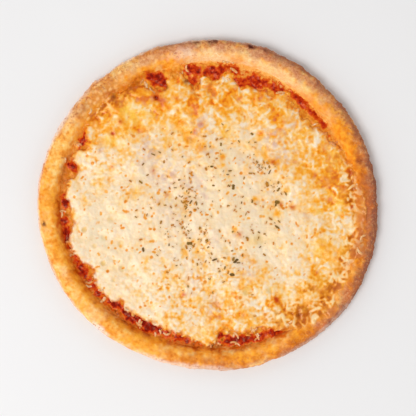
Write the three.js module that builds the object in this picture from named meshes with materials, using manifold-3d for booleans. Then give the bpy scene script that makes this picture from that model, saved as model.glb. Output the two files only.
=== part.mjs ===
// A margherita pizza, 27 cm across: a baked dough base with a raised, uneven rim, a layer of
// tomato sauce inside the rim, and a melted cheese layer with flakes of dried oregano baked onto it.
// Millimetres, +Z up. The origin is the middle of the flat underside. Angles run anticlockwise from +X.

import * as THREE from "three";
import { mergeVertices } from "three/addons/utils/BufferGeometryUtils.js";
import Module from "manifold-3d";

const wasm = await Module();
wasm.setup();

// ---- driving dimensions ----

const MEAN_RADIUS = 134.2;
const RIM_WIDTH = 19.5; // from the outer edge to the foot of the rim's inner slope
const CREST_INSET = 8.5; // from the outer edge to the top of the rim
const CREST_HEIGHT = 14.2;
const CREST_BREADTH = 1.4; // 1 is an even fall from the crest, and more keeps the crest broad
const EDGE_HEIGHT = 6.6; // height of the widest line of the rim
const FOOT_INSET = 7; // where the underside lifts off its flat
const FLOOR_HEIGHT = 4.5; // top of the dough under the sauce

const SAUCE_LEVEL = 6.4;
const SAUCE_INSET = 17.2; // from the outer edge to the edge of the sauce, a little way up the slope
const SAUCE_THINNEST = 0.6;

const CHEESE_THICKNESS = 3.2;
const CHEESE_EDGE_THICKNESS = 1.9;
const CHEESE_EDGE_ROUNDING = 7; // width of the band over which the layer thins to its edge
const CHEESE_INSET = 20.5; // from the outer edge to the cheese, where it neither draws back nor runs over

const LAYER_GAP = 0.4; // clearance between neighbouring solids
const BEND_GAP = 0.6; // the same where the cheese bends over the rim

const FLAKE_COUNT = 72;
const FLAKE_SPREAD = 66; // radius of the scattering
const FLAKE_CENTRE = new THREE.Vector2(-2, 2);
const FLAKE_LENGTHS = [2.2, 4];
const FLAKE_WIDTH = 1.3;
const FLAKE_THICKNESS = 1.1;

const SEGMENTS = 108; // round the pizza
const ON_AXIS = 1e-6; // a radius under this is the axis itself

// Slow waves of a closed line: [waves per turn, amplitude, angle of a crest in degrees].
const OUTLINE_WAVES = [
  [1, 0.9, -66],
  [2, 2.2, -15.5],
  [3, 1.2, -46],
  [7, 0.3, 20],
];
const CREST_WAVES = [
  [2, 0.8, 40],
  [3, 0.6, 75],
  [5, 0.5, 10],
  [11, 0.3, 4],
];

const CHEESE_EDGE_WAVES = [
  [9, 0.7, 12],
  [14, 0.6, 5],
  [22, 0.6, 9],
];

// Where the cheese leaves the sauce bare, or runs over the rim (negative):
// [middle angle, half width in degrees, how far the edge draws back].
const CHEESE_BAYS = [
  [41, 16, 6.5],
  [67, 13, 8.5],
  [92, 11, 12],
  [113, 6, 15],
  [135, 16, -5],
  [154, 5, 4],
  [166, 6, 4.5],
  [187, 13, 4.5],
  [212, 9, 3.5],
  [238, 17, 6],
  [260, 8, 4.5],
  [289, 16, 6],
  [344, 44, -9.5],
];

// Puffed places on the rim: [angle in degrees, inset from the outer edge, radius, lift].
const BLISTERS = [
  [22, 6, 11, 1.3],
  [58, 7, 13, 1.1],
  [97, 6, 12, 1.4],
  [121, 8, 9, 1.6],
  [134, 10, 9, 1.4],
  [147, 7, 9, 1.5],
  [178, 8, 13, 1.2],
  [208, 7, 11, 1.0],
  [234, 8, 12, 1.3],
  [262, 7, 10, 1.1],
  [301, 8, 9, 1.5],
  [322, 7, 11, 1.2],
  [350, 7, 12, 1.3],
];

// Broad swells of the cheese: [wavelength, height, direction in degrees, phase in degrees].
const CHEESE_SWELLS = [
  [61, 0.4, 15, 30],
  [43, 0.35, 80, 200],
  [34, 0.3, 140, 120],
  [27, 0.25, 205, 300],
];

// ---- shape of the layers ----

const smooth = THREE.MathUtils.smoothstep;
const radians = THREE.MathUtils.degToRad;

// The height of the waves at an angle.
function waves(list, angle) {
  return list.reduce(
    (sum, [order, amplitude, crest]) => sum + amplitude * Math.cos(order * (angle - radians(crest))),
    0,
  );
}

// How far an angle is from a middle one, as a share of a half width.
function offMiddle(angle, middle, halfWidth) {
  const turn = angle - radians(middle);
  return Math.abs(Math.atan2(Math.sin(turn), Math.cos(turn))) / radians(halfWidth);
}

const outline = (angle) => MEAN_RADIUS + waves(OUTLINE_WAVES, angle);

// The rim's rounded outside: a quarter of an ellipse, as heights over insets.
function quarterEllipse(inset, width, height) {
  const off = Math.min(1, Math.max(0, (width - inset) / width));
  return height * Math.sqrt(1 - off * off);
}

// The dough's top in section: up the rounded outside, over the crest and down to the floor.
function doughSection(inset) {
  if (inset < CREST_INSET) {
    return EDGE_HEIGHT + quarterEllipse(inset, CREST_INSET, CREST_HEIGHT - EDGE_HEIGHT);
  }
  const down = Math.min(1, (inset - CREST_INSET) / (RIM_WIDTH - CREST_INSET));
  const fall = 0.5 + 0.5 * Math.cos(Math.PI * down ** CREST_BREADTH);
  return FLOOR_HEIGHT + (CREST_HEIGHT - FLOOR_HEIGHT) * fall;
}

// What the crest's waves and the blisters add to the section.
function doughLift(inset, angle) {
  const share = Math.max(0, doughSection(inset) - EDGE_HEIGHT) / (CREST_HEIGHT - EDGE_HEIGHT);
  const along = MEAN_RADIUS - inset;
  const puffed = BLISTERS.reduce((sum, [middle, blisterInset, radius, lift]) => {
    const across = offMiddle(angle, middle, 1) * radians(1) * along;
    const off = Math.hypot(across, inset - blisterInset) / radius;
    return sum + lift * (1 - smooth(off, 0, 1));
  }, 0);
  return share * (waves(CREST_WAVES, angle) + puffed);
}

const doughTop = (inset, angle) => doughSection(inset) + doughLift(inset, angle);

// The sauce is level, and climbs a little where the dough rises under its edge.
function sauceTop(inset, angle) {
  return Math.max(SAUCE_LEVEL, doughTop(inset, angle) + LAYER_GAP + SAUCE_THINNEST);
}

// The inset of the cheese's edge.
function cheeseInset(angle) {
  return CHEESE_BAYS.reduce(
    (inset, [middle, halfWidth, back]) =>
      inset + back * (1 - smooth(offMiddle(angle, middle, halfWidth), 0.35, 1)),
    CHEESE_INSET + waves(CHEESE_EDGE_WAVES, angle),
  );
}

// The cheese lies on the sauce, and outside the sauce on the rim's slope.
function cheeseUnderside(inset, angle) {
  if (inset > SAUCE_INSET) return LAYER_GAP + sauceTop(inset, angle);
  return BEND_GAP + Math.max(doughTop(inset, angle), sauceTop(SAUCE_INSET, angle));
}

function cheeseSwell(x, y) {
  return CHEESE_SWELLS.reduce((sum, [length, height, direction, phase]) => {
    const along = x * Math.cos(radians(direction)) + y * Math.sin(radians(direction));
    return sum + height * Math.sin((2 * Math.PI * along) / length + radians(phase));
  }, 0);
}

// ---- making solids ----

// Turns a section round the axis. shape(inset, height, angle) gives each point its true inset
// from the outline, which isn't quite round, and its height.
function turned(section, shape) {
  const lathe = new THREE.LatheGeometry(section, SEGMENTS);
  lathe.rotateX(Math.PI / 2);
  const position = lathe.getAttribute("position");
  for (let i = 0; i < position.count; i++) {
    const radius = Math.hypot(position.getX(i), position.getY(i));
    const angle = Math.atan2(position.getY(i), position.getX(i));
    const [inset, height] = shape(MEAN_RADIUS - radius, position.getZ(i), angle);
    const reach = radius < ON_AXIS ? 0 : ((MEAN_RADIUS - inset) / MEAN_RADIUS) * outline(angle);
    position.setXYZ(i, reach * Math.cos(angle), reach * Math.sin(angle), height);
  }
  return lathe;
}

// A closed geometry as a manifold-3d solid.
function solid(geometry) {
  const bare = geometry.clone();
  bare.deleteAttribute("normal");
  bare.deleteAttribute("uv");
  const merged = mergeVertices(bare, 1e-3);
  const index = merged.index.array;
  const kept = [];
  for (let i = 0; i < index.length; i += 3) {
    const [a, b, c] = [index[i], index[i + 1], index[i + 2]];
    if (a !== b && b !== c && c !== a) kept.push(a, b, c);
  }
  return new wasm.Manifold(
    new wasm.Mesh({
      numProp: 3,
      vertProperties: merged.getAttribute("position").array,
      triVerts: new Uint32Array(kept),
    }),
  );
}

// A solid back as a geometry.
function geometryOf(made) {
  const mesh = made.getMesh();
  const geometry = new THREE.BufferGeometry();
  geometry.setAttribute("position", new THREE.BufferAttribute(mesh.vertProperties, 3));
  geometry.setIndex(new THREE.BufferAttribute(mesh.triVerts, 1));
  geometry.computeVertexNormals();
  return geometry;
}

function named(name, geometry, color, roughness) {
  const material = new THREE.MeshStandardMaterial({ color, roughness, metalness: 0 });
  const mesh = new THREE.Mesh(geometry, material);
  mesh.name = name;
  return mesh;
}

// Evenly spaced values from start to end, both included.
function steps(start, end, count) {
  return Array.from({ length: count + 1 }, (_, i) => start + ((end - start) * i) / count);
}

// The section of a layer, with its underside at height 0 and its top at height TOP.
const TOP = 1;

function layerSection(undersideInsets, topInsets) {
  const points = (insets, side) => insets.map((inset) => new THREE.Vector2(MEAN_RADIUS - inset, side));
  return [
    new THREE.Vector2(0, 0),
    ...points(undersideInsets.toReversed(), 0),
    ...points(topInsets, TOP),
    new THREE.Vector2(0, TOP),
  ];
}

// ---- crust ----

// The flat underside, the rounded edge, the rim and the floor that carries the sauce.
function crust() {
  const edgeArc = steps(0, Math.PI / 2, 4).map(
    (turn) =>
      new THREE.Vector2(
        MEAN_RADIUS - FOOT_INSET * (1 - Math.sin(turn)),
        EDGE_HEIGHT * (1 - Math.cos(turn)),
      ),
  );
  const outerArc = steps(Math.PI / 10, Math.PI / 2, 4).map((turn) => CREST_INSET * (1 - Math.cos(turn)));
  const innerSlope = steps(CREST_INSET, RIM_WIDTH, 7).slice(1);
  const floor = [45];
  const topInsets = [...outerArc, ...innerSlope, ...floor];
  const section = [
    new THREE.Vector2(0, 0),
    new THREE.Vector2(MEAN_RADIUS / 2, 0),
    ...edgeArc,
    ...topInsets.map((inset) => new THREE.Vector2(MEAN_RADIUS - inset, doughSection(inset))),
    new THREE.Vector2(0, FLOOR_HEIGHT),
  ];
  const geometry = turned(section, (inset, height, angle) => {
    const lift = height > EDGE_HEIGHT ? doughLift(inset, angle) : 0;
    return [inset, height + lift];
  });
  return named("crust", geometryOf(solid(geometry)), 0xe0a054, 0.7);
}

// ---- tomato sauce ----

function tomatoSauce() {
  const section = layerSection([SAUCE_INSET, 18.6, 20.5, 45], [SAUCE_INSET, 18.6, 20.5, 45]);
  const geometry = turned(section, (inset, side, angle) => [
    inset,
    side === TOP ? sauceTop(inset, angle) : doughTop(inset, angle) + LAYER_GAP,
  ]);
  return named("tomato_sauce", geometryOf(solid(geometry)), 0xa01c0c, 0.35);
}

// ---- cheese ----

// The layer thins to a rounded edge, and its top swells gently.
function cheeseTop(inset, angle) {
  const reach = (MEAN_RADIUS - inset) * (outline(angle) / MEAN_RADIUS);
  const inside = inset - cheeseInset(angle);
  const full = CHEESE_THICKNESS + cheeseSwell(reach * Math.cos(angle), reach * Math.sin(angle));
  const share = smooth(inside, 0, CHEESE_EDGE_ROUNDING);
  return cheeseUnderside(inset, angle) + THREE.MathUtils.lerp(CHEESE_EDGE_THICKNESS, full, share);
}

// The section ends at the mean inset of the edge, and each angle stretches it to the edge there.
function cheeseLayer() {
  const fromEdge = (backs) => backs.map((back) => CHEESE_INSET + back);
  const section = layerSection(
    fromEdge([0, 1.6, 3.2, 5, 7.5, 11, 30]),
    fromEdge([0, 2.5, 5, 8, 13, 20, 29, 38, 47, 56, 65, 74, 84, 96]),
  );
  return turned(section, (sectionInset, side, angle) => {
    const share = (MEAN_RADIUS - sectionInset) / (MEAN_RADIUS - CHEESE_INSET);
    const inset = MEAN_RADIUS - (MEAN_RADIUS - cheeseInset(angle)) * share;
    return [inset, side === TOP ? cheeseTop(inset, angle) : cheeseUnderside(inset, angle)];
  });
}

// A repeatable number from 0 to 1 for each whole number and use.
function scatter(number, use) {
  const value = Math.sin(number * 12.9898 + use * 78.233) * 43758.5453;
  return value - Math.floor(value);
}

// One flake of dried oregano: a flat six-sided lens, lying on the cheese.
function flake(number) {
  const reach = FLAKE_SPREAD * Math.sqrt((number + 0.5) / FLAKE_COUNT);
  const golden = Math.PI * (3 - Math.sqrt(5));
  const turn = number * golden + 0.5 * scatter(number, 1);
  const x = FLAKE_CENTRE.x + reach * Math.cos(turn);
  const y = FLAKE_CENTRE.y + reach * Math.sin(turn);
  const angle = Math.atan2(y, x);
  const inset = MEAN_RADIUS - Math.hypot(x, y) / (outline(angle) / MEAN_RADIUS);
  const length = THREE.MathUtils.lerp(...FLAKE_LENGTHS, scatter(number, 2));
  const shape = new THREE.SphereGeometry(0.5, 6, 3);
  shape.scale(length, FLAKE_THICKNESS, FLAKE_WIDTH);
  shape.rotateX(Math.PI / 2);
  shape.rotateZ(2 * Math.PI * scatter(number, 3));
  shape.translate(x, y, cheeseTop(inset, angle));
  return shape;
}

function cheese() {
  let made = solid(cheeseLayer());
  for (let number = 0; number < FLAKE_COUNT; number++) {
    made = made.add(solid(flake(number)));
  }
  return named("cheese", geometryOf(made), 0xf4deb4, 0.45);
}

// ---- the pizza ----

const pizza = new THREE.Group();
pizza.add(crust(), tomatoSauce(), cheese());

export default pizza;
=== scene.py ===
"""A baked margherita pizza: dough with an uneven rim, tomato sauce, melted mozzarella and dried oregano.

Metres, +Z up, the pizza resting on z = 0. Angles run anticlockwise from +X, and an inset is a
distance in from the pizza's outline.
"""

import math

import bpy
import numpy as np
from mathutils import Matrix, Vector, noise


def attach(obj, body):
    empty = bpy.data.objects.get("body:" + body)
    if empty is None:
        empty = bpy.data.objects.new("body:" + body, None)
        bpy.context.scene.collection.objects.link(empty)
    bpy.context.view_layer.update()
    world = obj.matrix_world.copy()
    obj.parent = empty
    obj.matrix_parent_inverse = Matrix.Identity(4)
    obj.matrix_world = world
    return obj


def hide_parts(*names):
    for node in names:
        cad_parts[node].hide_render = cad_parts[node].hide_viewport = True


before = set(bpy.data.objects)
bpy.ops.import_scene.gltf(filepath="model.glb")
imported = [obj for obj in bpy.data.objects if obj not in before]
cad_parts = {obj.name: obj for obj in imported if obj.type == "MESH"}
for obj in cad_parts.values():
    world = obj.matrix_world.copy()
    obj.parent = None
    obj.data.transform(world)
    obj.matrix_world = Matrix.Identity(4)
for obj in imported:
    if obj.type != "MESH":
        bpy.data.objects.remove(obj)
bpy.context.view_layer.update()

mm = 0.001

# ---- the dough, sauce and cheese, as the solids have them but for a slightly broader crest ----

MEAN_RADIUS = 134.2 * mm
RIM_WIDTH = 19.5 * mm  # from the outer edge to the foot of the rim's inner slope
CREST_INSET = 8.5 * mm
CREST_HEIGHT = 14.2 * mm
CREST_BREADTH = 1.75  # 1 is an even fall from the crest, and more keeps the crest broad
EDGE_HEIGHT = 6.6 * mm  # of the rim's widest line
FOOT_INSET = 7 * mm  # where the underside lifts off its flat
FLOOR_HEIGHT = 4.5 * mm  # top of the dough under the sauce

SAUCE_LEVEL = 6.4 * mm
SAUCE_INSET = 17.2 * mm
SAUCE_OVER_DOUGH = 1 * mm
CHEESE_GAP = 0.4 * mm
CHEESE_THICKNESS = 3.2 * mm
CHEESE_INSET = 20.5 * mm

# Slow waves of a closed line: waves per turn, height in mm, angle of a crest in degrees.
OUTLINE_WAVES = [(1, 0.9, -66), (2, 2.2, -15.5), (3, 1.2, -46), (7, 0.3, 20)]
CREST_WAVES = [(2, 0.8, 40), (3, 0.6, 75), (5, 0.5, 10), (11, 0.3, 4)]
CHEESE_EDGE_WAVES = [(9, 0.7, 12), (14, 0.6, 5), (22, 0.6, 9)]

# Where the cheese leaves the sauce bare, or runs over the rim (negative):
# middle angle, half width in degrees, how far the edge draws back in mm.
CHEESE_BAYS = [
    (41, 16, 6.5), (67, 13, 8.5), (92, 11, 12), (113, 6, 15), (135, 16, -5), (154, 5, 4), (166, 6, 4.5),
    (187, 13, 4.5), (212, 9, 3.5), (238, 17, 6), (260, 8, 4.5), (289, 16, 6), (344, 44, -9.5),
]

# Puffed places on the rim: angle in degrees, inset, radius and lift in mm.
BLISTERS = [
    (22, 6, 11, 1.3), (58, 7, 13, 1.1), (97, 6, 12, 1.4), (121, 8, 9, 1.6), (134, 10, 9, 1.4),
    (147, 7, 9, 1.5), (178, 8, 13, 1.2), (208, 7, 11, 1), (234, 8, 12, 1.3), (262, 7, 10, 1.1),
    (301, 8, 9, 1.5), (322, 7, 11, 1.2), (350, 7, 12, 1.3),
]

# Broad swells of the cheese: wavelength and height in mm, direction and phase in degrees.
CHEESE_SWELLS = [(61, 0.4, 15, 30), (43, 0.35, 80, 200), (34, 0.3, 140, 120), (27, 0.25, 205, 300)]

FLAKE_COUNT = 72
FLAKE_SPREAD = 66 * mm
FLAKE_CENTRE = (-2 * mm, 2 * mm)


def smooth(value, low, high):
    """Rises gently from 0 at low to 1 at high, which may vary from place to place."""
    t = np.clip((value - low) / (high - low), 0, 1)
    return t * t * (3 - 2 * t)


def waves(terms, angle):
    return sum(size * mm * np.cos(order * (angle - math.radians(crest))) for order, size, crest in terms)


def off_middle(angle, middle, half_width):
    """How far an angle is from a middle one, as a share of a half width in degrees."""
    turn = angle - math.radians(middle)
    return np.abs(np.arctan2(np.sin(turn), np.cos(turn))) / math.radians(half_width)


def round_the_rim(tones, angle):
    """Sums soft stretches of the rim: middle angle and half width in degrees, and strength."""
    shares = [1 - smooth(off_middle(angle, middle, half_width), 0.2, 1) for middle, half_width, _ in tones]
    return sum(strength * share for share, (_, _, strength) in zip(shares, tones))


def outline(angle):
    return MEAN_RADIUS + waves(OUTLINE_WAVES, angle)


def place(inset, angle):
    reach = (1 - inset / MEAN_RADIUS) * outline(angle)
    return reach * np.cos(angle), reach * np.sin(angle)


def inset_and_angle(x, y):
    angle = np.arctan2(y, x)
    return MEAN_RADIUS * (1 - np.hypot(x, y) / outline(angle)), angle


def dough_section(inset):
    """Height of the dough's top, up the rounded outside, over the crest and down to the floor."""
    off = np.clip((CREST_INSET - inset) / CREST_INSET, 0, 1)
    outside = EDGE_HEIGHT + (CREST_HEIGHT - EDGE_HEIGHT) * np.sqrt(1 - off * off)
    down = np.clip((inset - CREST_INSET) / (RIM_WIDTH - CREST_INSET), 0, 1)
    fall = 0.5 + 0.5 * np.cos(np.pi * down**CREST_BREADTH)
    return np.where(inset < CREST_INSET, outside, FLOOR_HEIGHT + (CREST_HEIGHT - FLOOR_HEIGHT) * fall)


def dough_lift(inset, angle):
    """What the crest's waves and the blisters add to the section."""
    share = np.maximum(0, dough_section(inset) - EDGE_HEIGHT) / (CREST_HEIGHT - EDGE_HEIGHT)
    puffed = 0
    for middle, blister_inset, radius, lift in BLISTERS:
        across = off_middle(angle, middle, 1) * math.radians(1) * (MEAN_RADIUS - inset)
        off = np.hypot(across, inset - blister_inset * mm) / (radius * mm)
        puffed = puffed + lift * mm * (1 - smooth(off, 0, 1))
    return share * (waves(CREST_WAVES, angle) + puffed)


def dough_top(inset, angle):
    return dough_section(inset) + dough_lift(inset, angle)


def sauce_top(inset, angle):
    return np.maximum(SAUCE_LEVEL, dough_top(inset, angle) + SAUCE_OVER_DOUGH)


def cheese_inset(angle):
    inset = CHEESE_INSET + waves(CHEESE_EDGE_WAVES, angle)
    for middle, half_width, back in CHEESE_BAYS:
        inset = inset + back * mm * (1 - smooth(off_middle(angle, middle, half_width), 0.35, 1))
    return inset


def cheese_swell(x, y):
    total = 0
    for length, height, direction, phase in CHEESE_SWELLS:
        along = x * math.cos(math.radians(direction)) + y * math.sin(math.radians(direction))
        total = total + height * mm * np.sin(2 * np.pi * along / (length * mm) + math.radians(phase))
    return total


# ---- a fine map over the pizza, on which the cheese's relief and stains are worked out ----

MAP_STEP = 0.5 * mm
MAP_HALF = 144 * mm
map_line = np.arange(-MAP_HALF, MAP_HALF, MAP_STEP)
MAP_X, MAP_Y = np.meshgrid(map_line, map_line)
MAP_INSET, MAP_ANGLE = inset_and_angle(MAP_X, MAP_Y)


def softened(field, size):
    """The field with everything smaller than size rubbed out."""
    wave = np.fft.fftfreq(len(map_line), MAP_STEP)
    fast, slow = np.meshgrid(wave, wave)
    kept = np.exp(-0.5 * (2 * np.pi * 0.4 * size) ** 2 * (fast**2 + slow**2))
    return np.fft.ifft2(np.fft.fft2(field) * kept).real


def cloud(size, seed):
    """Soft random lumps about as large as size, around 0 with a spread of 1."""
    soft = softened(np.random.default_rng(seed).standard_normal(MAP_X.shape), size)
    return (soft - soft.mean()) / soft.std()


def patches(places):
    """Soft patches: x, y and radius in mm, and strength."""
    total = np.zeros_like(MAP_X)
    for x, y, radius, strength in places:
        off = np.hypot(MAP_X - x * mm, MAP_Y - y * mm) / (radius * mm)
        total += strength * np.exp(-off * off)
    return total


def grains(spacing, seed):
    """Distance to the nearest of evenly scattered points, in spacings."""
    count = int(2 * MAP_HALF / spacing) + 3
    shift = np.random.default_rng(seed).uniform(0.1, 0.9, (count, count, 2))
    column, row = (MAP_X + MAP_HALF) / spacing, (MAP_Y + MAP_HALF) / spacing
    near = np.full(MAP_X.shape, 9.0)
    for right in (-1, 0, 1):
        for up in (-1, 0, 1):
            i, j = column.astype(int) + right, row.astype(int) + up
            jitter = shift[j % count, i % count]
            near = np.minimum(near, np.hypot(i + jitter[..., 0] - column, j + jitter[..., 1] - row))
    return near


def stamp(field, x, y, radius, height):
    """Presses a round dome into a field, where it is higher than what is there."""
    reach = int(radius / MAP_STEP) + 1
    column, row = int((x + MAP_HALF) / MAP_STEP), int((y + MAP_HALF) / MAP_STEP)
    rows, columns = slice(row - reach, row + reach + 1), slice(column - reach, column + reach + 1)
    off = np.hypot(MAP_X[rows, columns] - x, MAP_Y[rows, columns] - y) / radius
    dome = height * np.sqrt(np.clip(1 - off * off, 0, 1))
    np.maximum(field[rows, columns], dome, out=field[rows, columns])


def read(field, x, y):
    """The field's value at each point, between the map's lines."""
    column, row = (x + MAP_HALF) / MAP_STEP, (y + MAP_HALF) / MAP_STEP
    i, j = column.astype(int), row.astype(int)
    u, v = column - i, row - j
    low = field[j, i] * (1 - u) + field[j, i + 1] * u
    high = field[j + 1, i] * (1 - u) + field[j + 1, i + 1] * u
    return low * (1 - v) + high * v


# ---- where the oregano lies ----


def scatter(number, use):
    """A repeatable value from 0 to 1 for each whole number and use, as the solids have it."""
    value = math.sin(number * 12.9898 + use * 78.233) * 43758.5453
    return value - math.floor(value)


# Large flakes: x, y and length in mm, and tone.
LARGE_FLAKES = [
    (5, -44, 4.4, 0), (22, -45, 4.6, 0), (24, -46.5, 3.2, 0.1), (20, -43.5, 3, 0.3), (55, -18, 4.2, 0.1),
    (20, 14, 3.8, 0.05), (-14, 2, 3.4, 0.05), (55, 2, 3.6, 0.15), (54, 0, 3, 0.1), (56, 12, 3.4, 0.15),
    (49, 26, 3.8, 0.1), (47, 16, 3.8, 0.6), (-19, 2, 3.8, 0.6), (-15, -31, 4, 0.1), (-16, -59, 3.6, 0.8),
    (19, -56, 3.8, 0.05), (-52, -36, 3.6, 0.05), (-54, 18, 3.4, 0.3), (-44, 40, 3.4, 0.2),
]
# Clusters of small flakes: x, y and radius in mm, and count.
FLAKE_CLUSTERS = [
    (43, 30, 9, 34), (52, 14, 7, 14), (4, 26, 7, 14), (-18, 14, 9, 32), (-14, -4, 8, 28),
    (-22, -18, 10, 32), (-6, -24, 8, 18), (-12, -38, 11, 24), (14, -44, 9, 12), (30, -24, 12, 12),
    (48, -20, 10, 10), (26, 6, 14, 12), (-42, 0, 12, 12), (0, -62, 18, 14), (6, 46, 18, 12),
    (0, 0, 50, 24),
]


def flake_places():
    """x and y, length, turn and tone of every flake."""
    places = []
    for number in range(FLAKE_COUNT):
        reach = FLAKE_SPREAD * math.sqrt((number + 0.5) / FLAKE_COUNT)
        turn = number * math.pi * (3 - math.sqrt(5)) + 0.5 * scatter(number, 1)
        x, y = FLAKE_CENTRE[0] + reach * math.cos(turn), FLAKE_CENTRE[1] + reach * math.sin(turn)
        length = (1.5 + 1.3 * scatter(number, 2)) * mm
        places.append((x, y, length, 2 * math.pi * scatter(number, 3), 0.1 + 0.7 * scatter(number, 4)))
    places += [(x * mm, y * mm, length * mm, 1.3 * x, tone) for x, y, length, tone in LARGE_FLAKES]
    rng = np.random.default_rng(51)
    for x, y, radius, count in FLAKE_CLUSTERS:
        for _ in range(count):
            east, north = rng.normal((x, y), 0.7 * radius) * mm
            length = (0.9 + 1.6 * rng.random() ** 2) * mm
            places.append((east, north, length, rng.uniform(0, 6.3), rng.random() ** 0.7))
    return places


FLAKES = flake_places()

# ---- where the cheese differs from place to place ----

# Patches are x, y and radius in mm, and strength.
WARM_PATCHES = [
    (0, 86, 30, 0.54), (-46, 80, 24, 0.6), (45, 80, 26, 0.5), (-84, 66, 18, 0.4), (98, 30, 23, 0.66),
    (104, 2, 18, 0.5), (64, 24, 22, 0.25), (70, 50, 20, 0.35), (98, -30, 18, 0.35), (92, -58, 18, 0.36),
    (52, -90, 24, 0.4), (8, -94, 24, 0.5), (30, -60, 16, 0.22), (-30, -84, 18, 0.15), (0, 30, 42, 0.12),
    (-31, 45, 11, 0.2), (-90, 10, 10, 0.15), (112, 16, 12, 0.35), (110, -2, 9, 0.25),
]
ORANGE_PATCHES = [
    (-56, 61, 4, 0.7), (-48, 60, 3.5, 0.7), (-24, 66, 5, 0.5), (-19, 56, 5, 0.6), (-52, 84, 5, 0.6),
    (-36, 82, 5, 0.5), (-10, 88, 6, 0.4), (-70, 74, 4, 0.5), (-34, 70, 4, 0.4), (-62, 92, 9, 0.8),
    (-78, 80, 8, 0.7), (-50, 92, 8, 0.6), (-86, 66, 7, 0.6), (-92, 48, 5, 0.5), (-12, 78, 7, 0.5),
    (14, 82, 6, 0.5), (40, 84, 8, 0.6), (58, 72, 8, 0.6), (-15, 51, 5, 0.6), (-22, 62, 5, 0.4),
    (92, 40, 9, 0.4), (90, 18, 8, 0.35), (104, 20, 7, 0.3), (76, 62, 6, 0.4), (-66, 60, 5, 0.6),
    (30, 46, 5, 0.35), (54, 34, 4, 0.4), (72, -88, 8, 0.4), (16, -78, 5, 0.35), (-58, 12, 7, 0.3),
    (-70, 2, 5, 0.25), (-30, 23, 2.4, 1.1), (11, 38, 2.6, 0.9), (12, 31, 2, 0.5), (37, 4.5, 2, 0.9),
    (55, -7, 2.4, 1), (62, 12, 2.2, 1), (-18.6, 2, 2, 0.8), (21.4, -19.5, 1.8, 1.1), (36.5, -46, 1.9, 1),
    (17, -43.5, 2, 0.7), (28.5, -41, 1.8, 0.7), (41.4, 57, 3, 1.1), (50, 56, 3, 0.9), (-6, 46, 4.5, 0.8),
    (-11, 57, 3, 0.8), (46, -52, 2, 0.8), (-2, -50, 2, 0.5), (103, 19, 4, 0.6), (95, 18, 4, 0.5),
    (76, -82, 6, 0.9), (116.5, -38.5, 3.4, 1),
]
SMOOTH_PATCHES = [
    (10, 20, 30, 0.9), (30, 0, 24, 0.8), (-8, -12, 26, 0.5), (20, 44, 14, 0.7), (-86, -18, 16, 0.9),
    (-74, -44, 18, 0.9), (-50, -20, 22, 0.6), (-56, -58, 12, 0.6), (44, -34, 16, 0.6), (64, -14, 14, 0.5),
    (-78, 10, 16, 0.6),
]
GRAINY_PATCHES = [
    (-8, -78, 26, 0.9), (-34, -64, 20, 0.7), (24, -72, 22, 0.6), (50, -78, 16, 0.8), (76, -58, 18, 0.5),
    (-98, 24, 16, 0.5), (-84, 46, 16, 0.6), (20, 60, 16, 0.5), (92, 24, 16, 0.6),
]
STRINGY_PATCHES = [
    (-8, 92, 14, 0.9), (22, 90, 14, 1), (48, 82, 14, 0.9), (70, 68, 14, 0.9), (88, 48, 12, 0.7),
    (106, 12, 12, 0.7), (104, -14, 12, 0.8), (96, -44, 14, 0.8), (76, -72, 14, 0.8), (46, -92, 12, 0.6),
    (-94, 36, 9, 0.6), (-60, 86, 10, 0.4),
]
MAUVE_PATCHES = [
    (-6, 62, 7, 0.9), (-46, 46, 9, 0.6), (-34, 26, 8, 0.6), (50, 52, 11, 0.7), (62, 36, 8, 0.6),
    (28, 30, 12, 0.3), (4, -82, 9, 0.6), (-12, 20, 12, 0.4), (-34, 12, 20, 0.35), (-26, -14, 16, 0.3),
    (-50, 34, 12, 0.35), (-2, 8, 6, 0.5), (8, -28, 8, 0.4), (24, -25, 5, 0.7), (28, -46, 6, 0.6),
    (-2, 42, 5, 0.8), (46, 6, 10, 0.4), (34, -56, 6, 0.5), (-64, -96, 6, 0.6), (70, 64, 6, 0.5),
    (-10, -60, 7, 0.5), (76, -8, 7, 0.4), (-84, 44, 6, 0.4),
]
YELLOW_PATCHES = [
    (14, 60, 6, 0.9), (37, -29, 5, 0.7), (30, -70, 3.2, 1), (49, -68, 3.2, 1), (44, 18, 7, 0.4),
    (-66, 76, 8, 0.7), (-58, 70, 6, 0.7), (-78, 52, 7, 0.5), (102, 2, 8, 0.6), (98, 36, 9, 0.6),
    (92, 20, 8, 0.4), (106, 14, 7, 0.5), (88, -34, 12, 0.4), (84, -72, 8, 0.3), (62, -40, 12, 0.25),
    (-88, 20, 7, 0.5), (103, -5, 3.4, 0.9), (89, -6, 3, 0.5),
]
BARE_SPOTS = [
    (-6, 64, 1.8, 0.7), (-70, 66, 2, 1), (-76, 57, 2.4, 1), (-41, 84.5, 2.8, 1), (-44, 27, 2.2, 0.6),
    (67, -2, 2.2, 1), (58, 0, 1.8, 0.7), (25, -24, 1.8, 0.7), (-33, 8, 1.8, 0.6), (54, -76, 2.6, 1),
    (-20, -72, 2.6, 0.7), (52, 34, 2.2, 0.8), (84, 24, 2.4, 0.4), (100, 22, 2.2, 0.6),
    (-77, 30, 1.6, 0.6), (-79, 20, 1.4, 0.5), (113, 26, 2, 0.8), (115, -2, 2, 0.7),
]
BURNT_SPOTS = [
    (-75.5, 86, 2, 0.8), (-34, 94, 2.2, 1), (-12, 98.5, 3, 1), (-18, 98, 2.4, 0.9), (-7, 98, 2, 0.7),
    (116.5, -38.5, 2.6, 0.5), (72.5, -89, 2.2, 0.9), (78, -84, 3.2, 0.6), (-15.5, 51, 1.6, 0.8),
    (-45, 43.5, 1.4, 0.6),
]
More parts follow.
